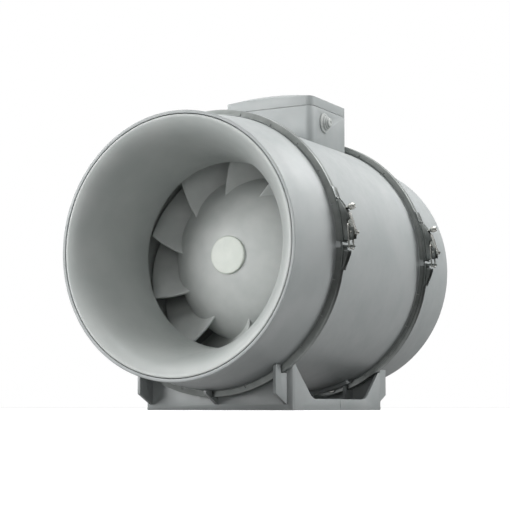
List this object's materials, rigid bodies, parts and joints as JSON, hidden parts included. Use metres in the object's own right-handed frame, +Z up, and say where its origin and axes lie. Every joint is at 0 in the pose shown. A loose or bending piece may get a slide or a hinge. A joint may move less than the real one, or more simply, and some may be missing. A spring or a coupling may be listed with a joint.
{
  "type": "inline duct fan",
  "caption": "Inline mixed-flow duct fan: round spigots with an inlet bell, a central casing held by latched V-bands, an impeller with motor, a terminal box and a flat base.",
  "frame": {"origin": "underside of the base, on its centre line, where its two halves meet", "axes": "+Z up; the duct axis is along Y, inlet facing -Y and outlet +Y; latches on the +X side"},
  "size_m": [0.359, 0.4454, 0.4015],
  "materials": {
    "casing_plastic": "moulded light grey, satin",
    "liner_plastic": "moulded grey, satin",
    "impeller_plastic": "moulded grey, satin",
    "cap_plastic": "moulded pale greenish grey",
    "band_steel": "rolled stainless strip",
    "bright_steel": "bright zinc plate",
    "motor_steel": "turned steel",
    "stator_winding": "varnished windings and laminations",
    "flange_alloy": "die cast",
    "seal_rubber": "moulded rubber",
    "grommet_rubber": "moulded light grey rubber",
    "terminal_resin": "moulded resin",
    "capacitor_can": "moulded can"
  },
  "bodies": {
    "fan_body": {"inlet_spigot": "casing_plastic", "outlet_spigot": "casing_plastic", "centre_casing": "casing_plastic", "terminal_box_lid": "casing_plastic", "inlet_foot": "casing_plastic", "outlet_foot": "casing_plastic", "inlet_bellmouth": "liner_plastic", "impeller_shroud": "liner_plastic", "guide_vane_ring": "liner_plastic", "tail_cone": "liner_plastic", "clamp_band_front": "band_steel", "clamp_band_rear": "band_steel", "latch_base_front": "band_steel", "latch_base_rear": "band_steel", "latch_keeper_front": "band_steel", "latch_keeper_rear": "band_steel", "latch_pin_front": "bright_steel", "latch_pin_rear": "bright_steel", "latch_lock_screw_front": "bright_steel", "latch_lock_screw_rear": "bright_steel", "lid_screw_1": "bright_steel", "lid_screw_2": "bright_steel", "lid_screw_3": "bright_steel", "lid_screw_4": "bright_steel", "foot_screw_1": "bright_steel", "foot_screw_2": "bright_steel", "foot_screw_3": "bright_steel", "foot_screw_4": "bright_steel", "motor_screw_1": "bright_steel", "motor_screw_2": "bright_steel", "motor_screw_3": "bright_steel", "bearing_front": "motor_steel", "bearing_rear": "motor_steel", "motor_stator": "stator_winding", "motor_flange": "flange_alloy", "clamp_seal_front": "seal_rubber", "clamp_seal_rear": "seal_rubber", "lid_gasket": "seal_rubber", "cable_grommet": "grommet_rubber", "terminal_block": "terminal_resin", "run_capacitor": "capacitor_can"},
    "impeller_assembly": {"impeller": "impeller_plastic", "hub_cap": "cap_plastic", "motor_rotor": "motor_steel", "motor_shaft": "motor_steel", "impeller_screw_1": "bright_steel", "impeller_screw_2": "bright_steel", "impeller_screw_3": "bright_steel"},
    "latch_lever_front": {"latch_lever_front": "bright_steel"},
    "latch_bail_front": {"latch_bail_front": "bright_steel"},
    "latch_lever_rear": {"latch_lever_rear": "bright_steel"},
    "latch_bail_rear": {"latch_bail_rear": "bright_steel"}
  },
  "joints": [
    {"name": "impeller_spin", "type": "hinge", "parent": "fan_body", "child": "impeller_assembly", "pos_m": [0, 0, 0.1864], "axis": [0, 1, 0], "continuous": true},
    {"name": "lever_hinge_front", "type": "hinge", "parent": "fan_body", "child": "latch_lever_front", "pos_m": [0.18111, -0.1335, 0.1997], "axis": [0, 1, 0], "range_deg": [0, 150]},
    {"name": "bail_hinge_front", "type": "hinge", "parent": "latch_lever_front", "child": "latch_bail_front", "pos_m": [0.17799, -0.1335, 0.20888], "axis": [0, 1, 0], "range_deg": [-176, 0]},
    {"name": "lever_hinge_rear", "type": "hinge", "parent": "fan_body", "child": "latch_lever_rear", "pos_m": [0.18111, 0.111, 0.1997], "axis": [0, 1, 0], "range_deg": [0, 150]},
    {"name": "bail_hinge_rear", "type": "hinge", "parent": "latch_lever_rear", "child": "latch_bail_rear", "pos_m": [0.17799, 0.111, 0.20888], "axis": [0, 1, 0], "range_deg": [-176, 0]}
  ],
  "couplings": [
    {"joint": "bail_hinge_front", "follows": "lever_hinge_front", "ratio": -1.17},
    {"joint": "bail_hinge_rear", "follows": "lever_hinge_rear", "ratio": -1.17}
  ]
}
